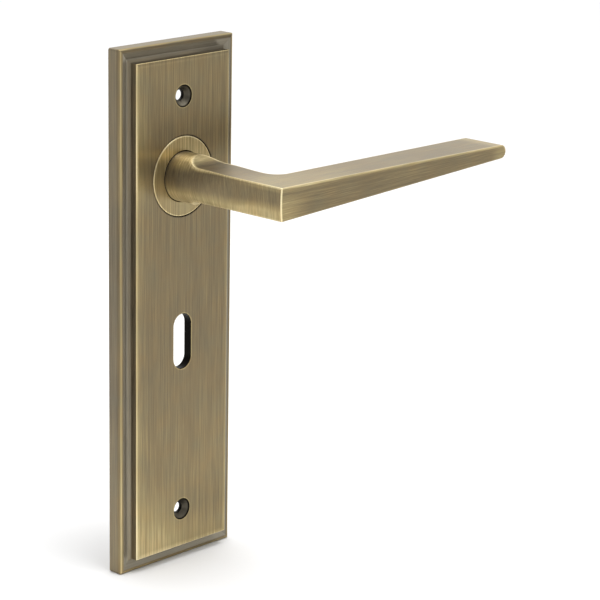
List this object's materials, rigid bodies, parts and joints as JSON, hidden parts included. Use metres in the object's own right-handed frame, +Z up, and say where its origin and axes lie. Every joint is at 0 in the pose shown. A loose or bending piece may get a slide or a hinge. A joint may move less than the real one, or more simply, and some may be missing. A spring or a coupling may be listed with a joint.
{
  "type": "lever handle on lock backplate",
  "caption": "Sprung straight lever handle on a stepped rectangular backplate with a keyhole, for one side of a door with a mortice lock.",
  "frame": {"origin": "where the spindle's axis meets the door's face, which is the plane of the backplate's back", "axes": "+Z up the plate, -Y out of the door towards the room, +X along the lever from its neck to its tip"},
  "size_m": [0.1325, 0.078, 0.18],
  "materials": {
    "antique_brass": "brushed, darkened and lacquered",
    "plated_steel": "bright zinc plate",
    "spring_steel": "oiled black",
    "nylon": "moulded",
    "zinc_casting": "as cast",
    "buffer_rubber": "moulded"
  },
  "bodies": {
    "backplate": {"face_plate": "antique_brass", "bearing_ring": "antique_brass", "ring_nut": "plated_steel", "bearing_bush": "nylon", "thrust_washer": "nylon", "rear_washer": "nylon", "spring_housing": "zinc_casting", "housing_cover": "plated_steel", "cover_screws": "plated_steel", "rest_stop_pin": "plated_steel", "limit_stop_pin": "plated_steel", "rest_stop_buffer": "buffer_rubber", "limit_stop_buffer": "buffer_rubber", "return_spring": "spring_steel"},
    "lever": {"lever_handle": "antique_brass", "spindle": "plated_steel", "drive_plate": "plated_steel", "disc_spring": "spring_steel", "retaining_washer": "plated_steel", "lever_circlip": "spring_steel"}
  },
  "joints": [
    {"name": "lever_turn", "type": "hinge", "parent": "backplate", "child": "lever", "pos_m": [0, 0, 0], "axis": [0, 1, 0], "range_deg": [0, 50], "stiffness_Nm_per_rad": 0.6, "springref_deg": -51.57, "deforming": ["return_spring"]}
  ]
}
